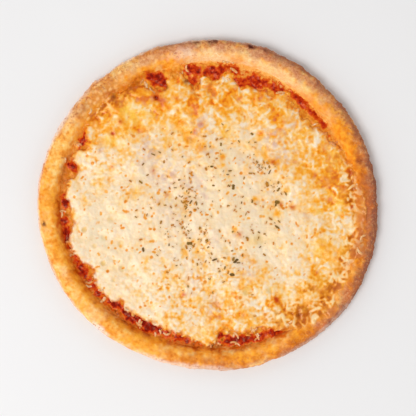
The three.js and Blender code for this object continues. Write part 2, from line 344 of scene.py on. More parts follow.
# Pits and bubbles: x, y, radius and depth in mm.
PITS = [
    (-99, -20, 2.4, 0.9), (-83, -26, 2.8, 0.6), (-84, -47, 2.2, 1), (-69, -51, 2.8, 0.8),
    (-91, -33, 2, 0.7), (-78, -12, 3, 0.5), (-70, -31, 2.6, 0.6), (-76, -60, 2, 0.6),
    (-62, -42, 2.2, 0.5), (30, -70, 2.6, 0.9), (49, -68, 2.8, 0.9), (41, -27, 4.5, 0.7),
    (14, -36, 4, 0.5), (55, -86, 2, 0.7),
]
AMBER_PATCHES = [
    (68, -84, 11, 1), (82, -68, 10, 0.7), (56, -92, 8, 0.8), (-72, 84, 9, 0.45), (-60, 94, 7, 0.4),
]
# Stretches of the cheese's edge: middle angle and half width in degrees, and strength. Bites are in mm.
EDGE_BITES = [
    (80, 9, 5), (104, 5, 4), (113, 6, -9), (276, 7, 8), (183, 10, 2.2), (207, 12, 3), (226, 13, 3.4),
    (250, 14, 3), (70, 10, 3), (57, 6, 3), (45, 4, 2), (75.5, 4, 5), (87, 4.5, 5), (97, 5, 6),
    (302, 4, 2.5), (154, 4, 2), (352, 24, -4), (311, 17, -8),
]
# Holes near the edge: x, y, radius and depth in mm.
EDGE_HOLES = [
    (-47, 104, 6, 16), (-41, 99, 5.5, 16), (-36, 94, 4, 13), (-42, 85, 3.2, 13),
]
THIN_EDGE = [(75, 55, 1), (120, 25, 0.6), (344, 50, 1), (276, 10, 0.5)]
OILY_EDGE = [
    (75, 55, 1), (120, 14, 0.5), (138, 30, 0.9), (165, 20, 0.5), (250, 30, 0.35), (290, 30, 0.5),
    (344, 50, 0.5),
]
FILM = [(350, 32, 1), (12, 26, 1), (316, 28, 1), (132, 22, 1)]  # where it runs over the rim


STRANDS_REACH = 128 * mm  # from the middle, to where strands start
STRANDS_END = 134 * mm
DROPS_REACH = 110 * mm
PACE = 0.6 * mm  # between the stamps that a strand or a long drop is made of


def strands(count, seed, longest, bending, thickness=1.0, reach_in=0.0):
    """Half-melted shreds: bent ridges that cross each other.

    longest is in mm, and reach_in is the share of the cheese's area, from its middle, that has none.
    """
    ridges = np.zeros_like(MAP_X)
    rng = np.random.default_rng(seed)
    for _ in range(count):
        share = reach_in + (1 - reach_in) * rng.random()
        reach, turn = STRANDS_REACH * math.sqrt(share), rng.uniform(0, 2 * np.pi)
        x, y = reach * math.cos(turn), reach * math.sin(turn)
        heading, bend = rng.uniform(0, 2 * np.pi), rng.normal(0, bending)
        width, height = thickness * rng.uniform(0.8, 1.3) * mm, rng.uniform(0.35, 1)
        paces = int(rng.uniform(0.3, 1) * longest * mm / PACE)
        for n in range(paces):
            taper = math.sin(math.pi * (n + 0.5) / paces) ** 0.35
            stamp(ridges, x, y, width * taper, height * taper)
            heading += bend
            x, y = x + PACE * math.cos(heading), y + PACE * math.sin(heading)
            if math.hypot(x, y) > STRANDS_END:
                break
    return ridges


def droplets(count, seed):
    """Drops of oil: most are small and elongated, and some larger and round."""
    drops = np.zeros_like(MAP_X)
    rng = np.random.default_rng(seed)
    for _ in range(count):
        reach, turn = DROPS_REACH * rng.random() ** 0.5, rng.uniform(0, 2 * np.pi)
        x, y = reach * math.cos(turn), reach * math.sin(turn)
        heading, strength = rng.uniform(0, np.pi), rng.uniform(0.3, 1.0)
        if rng.random() < 0.25:
            radius, paces = rng.uniform(1.1, 1.8) * mm, 1
        else:
            radius, paces = rng.uniform(0.6, 1.05) * mm, rng.integers(1, 5)
        for _ in range(paces):
            stamp(drops, x, y, radius, strength)
            x, y = x + PACE * math.cos(heading), y + PACE * math.sin(heading)
            heading += rng.normal(0, 0.3)
    return drops


def flake_halos():
    """Where the flakes have browned the cheese round them."""
    halos = np.zeros_like(MAP_X)
    for x, y, length, _, tone in FLAKES:
        stamp(halos, x, y, 0.5 * length + 0.4 * mm, 0.3 + 0.6 * tone)
    return softened(halos, 1.2 * mm)


# ---- stains and painted shade of the rim and the bare sauce, on the map ----

# For each mark: middle angle in degrees, inset in mm, half width in degrees, half depth in mm, strength.
RIM_STAINS = {
    # Toasted brown of the rim's outer strip. On the side away from the window light, about 300 to 60
    # degrees, it is made darker as painted shade.
    "brown_and_shade": [
        (60, 0.5, 42, 3.2, 0.9), (98, 1, 16, 2.6, 0.6), (10, 0.5, 24, 4.5, 1), (346, 0.5, 24, 6, 1),
        (328, 0, 18, 5, 1), (306, 0, 12, 3.5, 0.7), (275, 0, 10, 1.8, 0.5), (2, 9, 18, 5, 0.35),
        (47, 2.5, 5, 3, 0.9), (28, 1.5, 4, 2.4, 0.8), (37, 1.5, 3, 2.4, 0.7), (142, 9, 2, 4, 0.4),
    ],
    "pink": [
        (56, 5.5, 38, 6, 0.9), (100, 5, 20, 6, 0.9), (6, 6, 26, 7, 0.9), (322, 5, 26, 6.5, 1),
        (350, 7, 20, 8, 0.9), (300, 3, 12, 6, 0.8), (274, 3, 12, 5, 0.35), (136, 9, 13, 6, 0.45),
        (136, 1, 14, 2, 0.7), (150, 1.5, 10, 2, 0.6), (170, 0.5, 8, 1.4, 0.8), (203, 1, 8, 1.6, 0.5),
        (275, 4, 2, 3, 0.6), (188, 5, 3, 3, 0.4),
    ],
    "pale": [
        (62, 15, 22, 5.5, 0.65), (86, 16, 16, 4.5, 1), (88, 19.5, 12, 2.6, 0.5), (58, 19, 10, 2.6, 0.4),
        (84, 12, 12, 5, 0.7), (99, 11.5, 6, 3.5, 0.9), (116, 9, 6, 4, 0.9), (36, 12, 8, 3, 0.4),
        (147, 4, 5, 3.5, 0.7), (224, 8, 3, 9, 0.55), (205, 9, 4, 4, 0.4), (322, 12, 5, 5, 0.5),
        (290, 8, 1.2, 7, 0.6), (300, 9.5, 2, 3, 0.8), (126, 10, 4, 6, 0.4),
    ],
    "oiled": [
        (22, 13, 20, 7, 1), (2, 12, 10, 4.5, 0.9), (40, 17, 10, 4, 0.6), (48, 18.5, 10, 2, 0.5),
        (67, 22, 14, 2.2, 0.5), (79, 15.5, 5, 4.5, 0.45), (94.5, 14, 2.5, 4.5, 0.3), (92, 19, 8, 2.5, 0.5),
        (105.5, 15.5, 5, 6.5, 1), (118, 17, 11, 5.5, 1), (144, 19, 15, 5, 0.9), (178, 7, 18, 6, 0.5),
        (181, 15, 16, 4, 0.8), (210, 15.5, 24, 4, 0.9), (240, 15.5, 20, 4, 0.9), (262, 15, 14, 4, 0.7),
        (196, 12, 8, 6, 0.6), (218, 8, 12, 6, 0.45), (245, 7, 16, 7, 0.7), (266, 7, 12, 7, 0.8),
        (285, 9, 14, 7, 0.9), (304, 8, 8, 6, 0.9), (318, 14, 12, 8, 0.8), (345, 13, 18, 7, 0.9),
    ],
    # Sauce soaked into the dough. It is darkened as painted shade where the rim's inner slope and foot face
    # away from the light, 180 to 300 degrees.
    "soak_and_shade": [
        (4, 11, 20, 8, 0.65), (348, 8, 14, 8, 0.5), (270, 7, 18, 9, 0.5), (304, 4, 14, 6, 0.5),
        (330, 6, 8, 6, 0.4), (17, 10, 3, 2.6, 0.8), (1, 12, 4, 2.6, 0.7), (119, 18.5, 7, 3.6, 0.6),
        (131.5, 20, 1.8, 7, 1), (148, 20.5, 9, 2.4, 0.6), (164, 18.6, 9, 3, 0.7), (155.5, 15, 1.5, 3, 0.5),
        (182, 19.5, 12, 3.6, 1), (205, 20.2, 20, 4.2, 1), (232, 20.4, 22, 4.6, 1), (258, 20, 20, 5.2, 1),
        (283, 18.4, 18, 5, 1), (299, 18, 6, 4, 0.9), (309, 20, 5, 4, 0.7), (280, 9, 3, 5, 0.4),
        (288, 5, 4, 4, 0.4), (341.5, 14.5, 2, 3, 0.9), (356.7, 10.5, 2.6, 3, 0.8),
    ],
    "flour": [
        (92, 0, 18, 1.5, 0.6), (122, 0, 16, 1.5, 0.6), (152, 0, 18, 1.8, 0.9), (186, 0, 20, 1.5, 0.8),
        (212, 0, 12, 1.6, 0.8), (229, 1, 4, 3.4, 1), (252, 0.8, 16, 3, 0.7), (272, 1, 9, 3.4, 0.6),
        (300, 0.5, 12, 2, 0.3), (316, 1, 10, 2, 0.4), (208, 0.5, 12, 1.6, 0.6), (148, 1, 10, 1.8, 0.5),
        (100, 10, 8, 4, 0.35),
    ],
    # Scorched spots, and painted shade: a darker outer edge where the rim faces away from the window light,
    # 328 to 10 degrees.
    "scorch_and_shade": [
        (94, 1.5, 1.5, 3, 0.9), (88.5, 1.5, 1.4, 2.6, 0.9), (75, 2.2, 1.3, 2.2, 1), (70, 2, 0.8, 1.6, 0.8),
        (186.5, 4.5, 0.9, 1.9, 0.9), (16, 10, 1.2, 2.4, 0.5), (308, 20, 1.2, 2.4, 0.6),
        (248.5, 20.5, 1.8, 1.8, 0.7), (208, 19, 2.6, 1.4, 0.5), (350, -0.5, 22, 2, 0.4),
        (10, -0.5, 16, 2, 0.4), (328, -0.5, 16, 2, 0.4),
    ],
    "red": [
        (37, 21, 7, 2.8, 0.7), (44.5, 22.4, 4, 2.4, 0.75), (49.5, 21.6, 6, 3, 0.75),
        (57, 23.5, 5, 2.8, 0.75), (66, 25.4, 12, 4, 0.8), (70, 30, 7, 4, 0.8), (80, 23, 5, 4, 0.6),
        (88, 26, 7, 5, 0.85), (96, 25, 5, 4.2, 0.85), (75.5, 31, 3, 3.5, 0.8), (86.5, 31, 3.5, 5, 0.7),
        (97, 32, 4, 5.5, 0.65), (114.5, 19.5, 3, 4, 0.92), (112, 24, 3, 5, 0.92),
        (109.5, 29, 2.6, 4, 0.9), (115.5, 37, 3, 4, 0.7), (144, 21.5, 3, 2.6, 0.8),
        (153.5, 21.8, 5, 2.8, 0.9), (165, 23.4, 1.9, 4.6, 1), (179.5, 21.5, 2.8, 4, 1),
        (192, 19.6, 8, 4, 1), (202, 20.6, 5, 3, 0.7), (209, 21.6, 5, 4.2, 1), (219, 20.8, 6, 4.4, 1),
        (226, 24.5, 5, 4, 1), (236, 24.5, 8, 5, 1), (247, 24, 8, 5, 1), (261, 21.2, 6, 4.2, 1),
        (275, 28.5, 4, 3.2, 1), (282, 22.4, 6, 3.4, 1), (291.5, 21.5, 5, 3.4, 0.9),
        (299, 20.4, 7, 3.6, 1), (313, 23.8, 4.5, 1.2, 0.6),
    ],
}
# How far the sauce's shore draws back: middle angle and half width in degrees, and mm.
SHORE_BACKS = [(66, 26, 3.8), (92, 14, 1.6), (230, 14, 1.2), (262, 10, 1.4), (275, 7, 3), (209, 8, 1.2)]


def stains(places, seed):
    """Uneven stains and painted shade, with soft edges."""
    wobble = 0.2 * cloud(6 * mm, seed) + 0.16 * cloud(2.4 * mm, seed + 1)
    total = np.zeros_like(MAP_X)
    for middle, inset, half_width, half_depth, strength in places:
        along = off_middle(MAP_ANGLE, middle, half_width)
        off = np.hypot(along, (MAP_INSET - inset * mm) / (half_depth * mm))
        total = np.maximum(total, strength * (1 - smooth(off + wobble, 0.2, 1.5)))
    return total


rim_marks = {name: stains(places, 101 + 10 * n) for n, (name, places) in enumerate(RIM_STAINS.items())}
shore = SAUCE_INSET + 1 * mm + round_the_rim(SHORE_BACKS, MAP_ANGLE) * mm
past_shore = MAP_INSET + (1.3 * cloud(7 * mm, 41) + 0.8 * cloud(2.5 * mm, 42)) * mm - shore

# ---- the cheese's melted top, on the map ----


def even(field):
    """The field moved and stretched to lie round 0 with a spread of 1."""
    return (field - field.mean()) / field.std()


melted = np.clip(patches(SMOOTH_PATCHES) + 0.12 * cloud(14 * mm, 3), 0, 1)
grainy = np.clip(patches(GRAINY_PATCHES) + 0.15 * cloud(12 * mm, 4), 0, 1)
stringy = np.clip(patches(STRINGY_PATCHES) + 0.1 * cloud(12 * mm, 6), 0, 1)
film_end = MAP_INSET + (1.6 * cloud(9 * mm, 7) + 1.1 * cloud(4 * mm, 8)) * mm
film = round_the_rim(FILM, MAP_ANGLE) * (1 - smooth(film_end, 16 * mm, 28 * mm))
film = np.clip(film + patches(AMBER_PATCHES) * (1 + 0.25 * cloud(4 * mm, 9)), 0, 1)

shred_ridges = strands(2600, 11, 13, 0.09)
crisp_shreds = softened(shred_ridges, 0.9 * mm)
soft_shreds = softened(shred_ridges, 3.2 * mm)
curls = softened(strands(1700, 17, 12, 0.07, reach_in=0.55), 0.9 * mm)
fingers = softened(strands(700, 19, 12, 0.16, thickness=0.9, reach_in=0.5), 0.7 * mm)
grain_distance = grains(2.6 * mm, 12)
granules = softened(np.sqrt(np.clip(1 - (grain_distance / 0.75) ** 2, 0, 1)), 0.8 * mm)
seam_depth = np.clip(0.6 + 0.7 * cloud(4 * mm, 18), 0, 1.5)
seams = softened(smooth(grain_distance, 0.42, 0.66), 0.5 * mm) * seam_depth
oil_drops = softened(droplets(1100, 13), 0.6 * mm)

# In mm: crisp and half-melted shreds, grains, curls of the thin film, swells and drops of oil.
cheese_relief = (
    (0.22 + 0.45 * stringy) * (1 - 0.75 * melted) * (1 - 0.5 * grainy) * (1 - film) * crisp_shreds
    + 0.5 * (1 - 0.5 * melted) * soft_shreds
    + 0.5 * granules * grainy
    + 0.8 * curls * film
    + 0.09 * cloud(2.0 * mm, 14)
    + (0.12 + 0.06 * melted) * cloud(5 * mm, 15)
    + (0.16 + 0.12 * melted) * cloud(10 * mm, 16)
    - 0.2 * oil_drops
) * mm
pits = np.zeros_like(MAP_X)
for pit_x, pit_y, pit_radius, pit_depth in PITS:
    off_pit = np.hypot(MAP_X - pit_x * mm, MAP_Y - pit_y * mm) / (pit_radius * mm)
    pits += pit_depth * np.exp(-(off_pit**3.0))
    lip = 0.35 * np.exp(-((off_pit - 1.15) ** 2) / 0.05)
    cheese_relief += mm * pit_depth * (lip - np.exp(-(off_pit**2.5)))
hollows = (softened(cheese_relief, 3.2 * mm) - cheese_relief) / mm

# ---- the cheese's edge, what carries it and its depth over that ----

EDGE_SINK = 2.1 * mm  # how far the cheese's border dips under what carries it

thin_edge = np.clip(round_the_rim(THIN_EDGE, MAP_ANGLE), 0, 1)
ragged = cloud(8 * mm, 21) + 0.6 * cloud(3.5 * mm, 22) + 0.12 * cloud(1.8 * mm, 23)
ragged = ragged * (1 + thin_edge) * mm
plain_edge = MAP_INSET - cheese_inset(MAP_ANGLE) + ragged - round_the_rim(EDGE_BITES, MAP_ANGLE) * mm
plain_edge -= patches(EDGE_HOLES) * mm
inside_cheese = plain_edge + 4.5 * mm * fingers * smooth(plain_edge, -6 * mm, -1 * mm) * (1 - 0.75 * film)
over_rim = smooth(RIM_WIDTH - MAP_INSET, -1 * mm, 5 * mm)
smooth_dough = dough_top(MAP_INSET, MAP_ANGLE)
on_dough = np.maximum(smooth_dough, 0) + SAUCE_OVER_DOUGH * smooth(MAP_INSET, 10 * mm, SAUCE_INSET)
carried = np.where(MAP_INSET > SAUCE_INSET, sauce_top(MAP_INSET, MAP_ANGLE), on_dough)
carried = softened(carried, 3 * mm)
edge_width = (3 + 5 * thin_edge) * mm
edge_body = np.clip(inside_cheese / edge_width, 0, 1) ** (0.5 + 0.35 * thin_edge)
full_thickness = (CHEESE_GAP + CHEESE_THICKNESS) * (1 - 0.7 * over_rim) + cheese_swell(MAP_X, MAP_Y)
cheese_depth = edge_body * (full_thickness + cheese_relief - 0.5 * mm)
gentle = np.maximum(over_rim, thin_edge)
sink_start, sink_end = (0.2 + 1.5 * gentle) * mm, (-1.6 - 1.6 * gentle) * mm
cheese_depth -= EDGE_SINK * (1 - smooth(inside_cheese, sink_end, sink_start))

# ---- the cheese's oil and colours, on the map ----

warm = np.clip(0.02 + patches(WARM_PATCHES) + 0.08 * cloud(9 * mm, 5), 0, 1)
near_edge = 1 - smooth(plain_edge, 0.5 * mm, 7 * mm)
oily_edge = 0.1 + 0.32 * round_the_rim(OILY_EDGE, MAP_ANGLE)
patchy = even(0.8 * cloud(5.5 * mm, 31) + 0.9 * cloud(2.6 * mm, 32) + 0.7 * cloud(1.4 * mm, 38))
spotted = np.minimum(even(np.exp(0.6 * patchy)), 2.6)
patchy = spotted + (patchy - spotted) * np.clip(1.5 * warm, 0, 1)
threads = even(crisp_shreds) * (0.5 + 0.6 * stringy) * (1 - film) + 0.95 * even(curls) * film
tone_spread = 0.06 + 0.2 * warm + 0.05 * grainy + 0.18 * film + 0.08 * near_edge - 0.05 * melted
oil = 0.15 + 0.58 * warm + 0.55 * patches(ORANGE_PATCHES) + oily_edge * near_edge + 0.42 * film * (1 - warm)
oil += 0.35 * patches([(x, y, 1.8 * radius, share) for x, y, radius, share in BARE_SPOTS])
oil += 0.1 * film + tone_spread * (0.9 * patchy - 0.8 * threads) + 0.3 * hollows + 0.28 * grainy * seams
mauve = patches(MAUVE_PATCHES) * (0.7 + 0.5 * cloud(2.2 * mm, 33))
mauve = mauve + (0.06 + 0.1 * warm) * cloud(2.6 * mm, 34)
yellow = 0.7 * patches(YELLOW_PATCHES) * (0.8 + 0.3 * cloud(2.5 * mm, 35)) + 0.08 * cloud(8 * mm, 36)
rust = (1 - smooth(inside_cheese, 0.2 * mm, 2.4 * mm)) * (1 - 0.7 * film) * (1 - 0.4 * thin_edge)
cheese_marks = {
    "oil": oil,
    "drops": oil_drops * np.clip(0.8 + 0.35 * cloud(9 * mm, 39), 0.1, 1) * (1 - 0.6 * warm) * (1 - film),
    "mauve": mauve * (1 - 0.7 * film),
    "yellow": yellow,
    "bare": patches(BARE_SPOTS) * (0.85 + 0.3 * cloud(1.6 * mm, 37)),
    "film": film,
    "halo": flake_halos(),
    "rust": rust + 0.4 * grainy * seams,
    "pit": pits,
    "milky": melted * (1 - smooth(oil, 0.2, 0.5)) * (0.8 + 0.25 * cloud(7 * mm, 24)),
    "burnt": patches(BURNT_SPOTS) * (0.9 + 0.4 * cloud(1.8 * mm, 40)),
    "brim": film * (1 - smooth(plain_edge, -0.5 * mm, 4 * mm)),
    "pink": rim_marks["pink"],
    # The rim's toasted brown and soaked foot, both with painted shade, for the cheese film where it covers
    # the rim.
    "brown_and_shade": rim_marks["brown_and_shade"],
    "soak_and_shade": rim_marks["soak_and_shade"] * film,
}


# ---- making meshes ----

TOUCHING = 0.01 * mm  # closer than this counts as the same place
SKY = 100 * mm  # a height above every piece


def select_none():
    bpy.ops.object.select_all(action="DESELECT")


def face_outwards():
    """Turns the faces of the active piece outwards and shades it smooth."""
    bpy.ops.object.mode_set(mode="EDIT")
    bpy.ops.mesh.select_all(action="SELECT")
    bpy.ops.mesh.normals_make_consistent(inside=False)
    bpy.ops.object.mode_set(mode="OBJECT")
    bpy.ops.object.shade_smooth()


def spun(name, profile, steps):
    """A closed piece: the profile, from axis to axis, spun once round the upright axis."""
    select_none()
    start, height = profile[0]
    bpy.ops.mesh.primitive_plane_add(size=mm, location=(start, 0, height))
    piece = bpy.context.object
    piece.name = piece.data.name = name
    bpy.ops.object.transform_apply(location=True)
    bpy.ops.object.mode_set(mode="EDIT")
    bpy.ops.mesh.merge(type="CENTER")
    for here, there in zip(profile, profile[1:]):
        move = (there[0] - here[0], 0, there[1] - here[1])
        bpy.ops.mesh.extrude_vertices_move(TRANSFORM_OT_translate={"value": move})
    bpy.ops.object.mode_set(mode="OBJECT")
    turned = piece.modifiers.new("turned", "SCREW")
    turned.axis, turned.angle, turned.screw_offset = "Z", 2 * math.pi, 0
    turned.steps = turned.render_steps = steps
    turned.use_merge_vertices, turned.merge_threshold = True, TOUCHING
    bpy.ops.object.modifier_apply(modifier=turned.name)
    face_outwards()
    return piece


def select_points(piece, chosen):
    """Selects points of the piece by a list of true and false, and opens it in edit mode."""
    piece.data.polygons.foreach_set("select", np.zeros(len(piece.data.polygons), bool))
    piece.data.edges.foreach_set("select", np.zeros(len(piece.data.edges), bool))
    piece.data.vertices.foreach_set("select", chosen)
    bpy.ops.object.mode_set(mode="EDIT")
    bpy.ops.mesh.select_mode(type="VERT")


def vectors_of(source, name):
    """The named vector of each point, as rows."""
    flat = np.empty(len(source) * 3, np.float32)
    source.foreach_get(name, flat)
    return flat.reshape(-1, 3).astype(float)


def points_of(piece):
    return vectors_of(piece.data.vertices, "co")


def rim_places(points):
    """Angle and inset of points that lie as they were spun."""
    return np.arctan2(points[:, 1], points[:, 0]), MEAN_RADIUS - np.hypot(points[:, 0], points[:, 1])


def move_points(piece, points):
    piece.data.vertices.foreach_set("co", points.astype(np.float32).ravel())
    piece.data.update()


def mark(piece, name, values):
    """Stores a value for each point of the piece, which its material reads."""
    stored = piece.data.attributes.new(name, "FLOAT", "POINT")
    stored.data.foreach_set("value", np.clip(values, 0, 1).astype(np.float32))


def lumps(points, size, seed):
    """Random lumps about as large as size, from -1 to 1, through the space that the points are in."""
    shift = Vector((seed * 3.7, seed * 1.3, seed * 2.1))
    return np.array([noise.noise(Vector(point) / size + shift) for point in points])


def bubbles(points, size):
    """Distance of each point to the middle of the nearest of many packed bubbles, in bubble sizes."""
    return np.array([noise.voronoi(Vector(point) / size)[0][0] for point in points])


def top_of(piece, x, y):
    """Height of the piece's top under each place, and 0 beside it."""
    bpy.context.view_layer.update()
    heights = np.zeros(len(x))
    for n, (east, north) in enumerate(zip(x, y)):
        found, spot, _, _ = piece.ray_cast(Vector((east, north, SKY)), Vector((0, 0, -1)))
        heights[n] = spot.z if found else 0
    return heights


# ---- crust ----

CRUST_STEPS = 1080
EDGE_POINTS, OUTSIDE_POINTS, SLOPE_POINTS = 13, 17, 24  # of the profile, from the underside to the floor

# Places round the rim: middle angle and half width in degrees, and strength. Creases are in mm.
BUBBLY = [(134, 20, 1), (110, 16, 0.5), (30, 30, 0.5), (330, 25, 0.5)]
SMOOTH_CRUST = [(225, 68, 1), (170, 30, 0.5), (290, 16, 0.4)]
CREASES = [(291.5, 2.2, 1.3), (128, 3, 0.8), (222, 2.5, 0.4), (39, 3, 0.3)]


def crust_profile():
    """Underside, rounded edge, rim and floor, from axis to axis, as radius and height."""
    underside = [(reach * mm, 0) for reach in (0, 18, 36, 54, 70, 84, 96, 106, 115, 122)]
    edge = [
        (MEAN_RADIUS - FOOT_INSET * (1 - math.sin(turn)), EDGE_HEIGHT * (1 - math.cos(turn)))
        for turn in np.linspace(0, math.pi / 2, EDGE_POINTS)
    ]
    outside = [CREST_INSET * (1 - math.cos(turn)) for turn in np.linspace(0.1, math.pi / 2, OUTSIDE_POINTS)]
    slope = list(np.linspace(CREST_INSET, RIM_WIDTH + 1 * mm, SLOPE_POINTS))[1:]
    floor = [24 * mm, 30 * mm, 45 * mm, 80 * mm]
    top = [(MEAN_RADIUS - inset, float(dough_section(inset))) for inset in outside + slope + floor]
    return [*underside, *edge, *top, (0, FLOOR_HEIGHT)]


def make_crust():
    crust = spun("baked_crust", crust_profile(), CRUST_STEPS)
    points = points_of(crust)
    angle, inset = rim_places(points)
    height = points[:, 2]
    points[:, 0], points[:, 1] = place(inset, angle)
    points[:, 2] = np.where(height > EDGE_HEIGHT, height + dough_lift(inset, angle), height)
    move_points(crust, points)

    coarse = lumps(points, 13 * mm, 1)
    medium = lumps(points, 5.5 * mm, 2)
    small = lumps(points, 2.4 * mm, 3)
    fine = lumps(points, 1.2 * mm, 4)
    bubbly = round_the_rim(BUBBLY, angle)
    calm = np.clip(round_the_rim(SMOOTH_CRUST, angle), 0, 1)
    bubble_tops = smooth(0.6 - bubbles(points, 3.8 * mm), 0, 0.45)
    raised = smooth(height, 0.3 * mm, 5 * mm)
    relief = (0.9 * coarse + 0.8 * medium + 0.6 * small + 0.35 * fine) * mm * raised
    relief *= 1 - 0.5 * calm
    relief += 0.8 * mm * bubbly * bubble_tops * raised
    relief += 0.25 * mm * np.maximum(medium, -0.2) * smooth(height, 0, 1 * mm) * (1 - raised)
    for middle, half_width, depth in CREASES:
        relief -= depth * mm * np.exp(-(off_middle(angle, middle, half_width) ** 2)) * raised
    relief *= 1 - 0.75 * smooth(inset, 8 * mm, 15 * mm)
    # A new array, so that height stays the smooth dough's.
    points = points + vectors_of(crust.data.vertex_normals, "vector") * relief[:, None]
    dimples = 0.35 * mm * np.maximum(0, coarse) + 0.1 * mm * np.maximum(0, medium)
    points[:, 2] = np.where(height < TOUCHING, dimples, np.maximum(points[:, 2], 0))
    move_points(crust, points)

    above = smooth(height, 2 * mm, 6 * mm)
    on_wall = 1 - smooth(height, 8 * mm, 12 * mm)
    sway = 6 * mm * lumps(points, 5 * mm, 5) * on_wall
    x, y = points[:, 0] - sway * np.sin(angle), points[:, 1] + sway * np.cos(angle)
    for name, field in rim_marks.items():
        reach = 1 - on_wall if name == "scorch_and_shade" else above
        mark(crust, name, read(field, x, y) * reach)
    # Bubble tops are painted lighter as a painted highlight, and the crevices between them darker as
    # painted shade.
    mark(crust, "bubble", bubbly * bubble_tops * raised)
    mark(crust, "crevice_shade", bubbly * (1 - bubble_tops) ** 2 * raised)
    mark(crust, "golden", 0.5 + 0.5 * coarse + 0.5 * medium + 0.5 * small)
    toasted = 0.75 * (1 - smooth(inset, 5 * mm, 12 * mm)) * above + 0.15 * bubbly
    mark(crust, "freckled", toasted * (1 - 0.9 * calm))
    mark(crust, "wall", 1 - above)
    mark(crust, "under", 1 - smooth(height, 0.2 * mm, 2.5 * mm))
    return crust


# ---- tomato sauce ----

SAUCE_STEPS = 900
SAUCE_HIDDEN = 0.7 * mm  # how far the sauce goes on under the dough's slope


def make_sauce(crust):
    insets = np.concatenate([np.arange(14.5, 42, 0.75), [46, 54, 64, 80, 105]]) * mm
    underside = [(0, 0), *[(MEAN_RADIUS - inset, 0) for inset in (80 * mm, 30 * mm, 22 * mm, 17 * mm)]]
    top = [(MEAN_RADIUS - inset, 1 * mm) for inset in insets]
    sauce = spun("cooked_sauce", [*underside, *top, (0, 1 * mm)], SAUCE_STEPS)
    points = points_of(sauce)
    angle, inset = rim_places(points)
    is_top = points[:, 2] > 0.5 * mm
    points[:, 0], points[:, 1] = place(inset, angle)
    x, y = points[:, 0], points[:, 1]
    on_slope = inset < RIM_WIDTH + 1 * mm
    dough = dough_top(inset, angle)
    dough[on_slope] = top_of(crust, x[on_slope], y[on_slope])
    wet = smooth(read(past_shore, x, y), -3.5 * mm, 2 * mm)
    bumpy = 0.3 * read(cloud(3.5 * mm, 43), x, y) + 0.22 * read(cloud(1.7 * mm, 44), x, y)
    covered = smooth(read(inside_cheese, x, y), 1 * mm, 4 * mm)
    level = np.maximum(SAUCE_LEVEL, dough + 0.4 * mm) + (bumpy - 0.1) * mm * (1 - covered) * wet
    below = dough - SAUCE_HIDDEN
    points[:, 2] = np.where(is_top, below + (level - below) * wet, below)
    move_points(sauce, points)

    mark(sauce, "shallow", 1 - smooth(read(past_shore, x, y), -1.5 * mm, 4 * mm))
    # One of these marks also carries painted shade at the foot of the rim's inner slope, away from the
    # light.
    for name in ("oiled", "soak_and_shade", "red"):
        mark(sauce, name, read(rim_marks[name], x, y))
    return sauce


# ---- cheese ----

CHEESE_CELLS = 350
CHEESE_SPAN = 252 * mm
CHEESE_MARGIN = 2.6 * mm  # how far the sheet goes on, out of sight, past the cheese's edge
CHEESE_SUNK = 2.8 * mm  # how far its underside lies under the top of what carries it
CRUST_FOLLOWED = (15 * mm, 20 * mm)  # insets between which it stops following the crust's bumps
BORDER_RINGS = (0.99, 0.97, 0.95, 0.93, 0.92)  # how each ring of the underside shrinks from the last


def make_cheese(crust):
    select_none()
    bpy.ops.mesh.primitive_grid_add(
        x_subdivisions=CHEESE_CELLS, y_subdivisions=CHEESE_CELLS, size=CHEESE_SPAN
    )
    cheese = bpy.context.object
    cheese.name = cheese.data.name = "melted_cheese"
    points = points_of(cheese)
    outside = read(softened(inside_cheese, 2 * mm), points[:, 0], points[:, 1]) < -CHEESE_MARGIN
    select_points(cheese, outside)
    bpy.ops.mesh.delete(type="VERT")
    bpy.ops.object.mode_set(mode="OBJECT")
    points = points_of(cheese)
    tops = len(points)
    x, y = points[:, 0], points[:, 1]
    under = read(carried, x, y)
    inset = read(MAP_INSET, x, y)
    on_rim = inset < CRUST_FOLLOWED[1]
    bumps = top_of(crust, x[on_rim], y[on_rim]) - read(smooth_dough, x[on_rim], y[on_rim])
    under[on_rim] += bumps * (1 - smooth(inset[on_rim], *CRUST_FOLLOWED))
    points[:, 2] = under + read(cheese_depth, x, y)
    move_points(cheese, points)

    bpy.ops.object.mode_set(mode="EDIT")
    bpy.ops.mesh.select_all(action="DESELECT")
    bpy.ops.mesh.select_non_manifold(extend=False)
    for shrink in BORDER_RINGS:
        bpy.ops.mesh.extrude_edges_move()
        bpy.ops.transform.resize(value=(shrink, shrink, 1), center_override=(0, 0, 0))
    bpy.ops.mesh.edge_face_add()
    bpy.ops.object.mode_set(mode="OBJECT")
    points = points_of(cheese)
    hidden = points[tops:]
    hidden[:, 2] = read(carried, hidden[:, 0], hidden[:, 1]) - CHEESE_SUNK
    move_points(cheese, points)
    face_outwards()
    for name, field in cheese_marks.items():
        mark(cheese, name, read(field, points[:, 0], points[:, 1]))
    return cheese


# ---- scattered small things ----


def copy_of(kind, x, y, turn, scale, tone):
    """A copy of a modelled kind, with its own mesh, laid at a place."""
    made = kind.copy()
    made.data = kind.data.copy()
    bpy.context.collection.objects.link(made)
    made.location, made.rotation_euler, made.scale = (x, y, 0), (0, 0, turn), scale
    mark(made, "tone", np.full(len(made.data.vertices), tone))
    return made


def joined(name, copies, kinds):
    """Joins the copies into one piece at the origin and removes the kinds they were made from."""
    select_none()
    for made in copies:
        made.select_set(True)
    bpy.context.view_layer.objects.active = copies[0]
    bpy.ops.object.transform_apply(location=True, rotation=True, scale=True)
    bpy.ops.object.join()
    piece = bpy.context.object
    piece.name = piece.data.name = name
    for kind in kinds:
        bpy.data.objects.remove(kind)
    return piece


# ---- oregano ----

# Kinds of flake, of length 1: width, narrowing to the tip, curl and a notch.
FLAKE_KINDS = [
    (0.42, 0.95, 0.10, 0.05), (0.55, 0.85, -0.08, 0.16), (0.3, 0.9, 0.06, 0.1), (0.65, 0.98, 0.16, 0.1),
]
FLAKE_LIFT = 0.22 * mm  # over the cheese's softened top


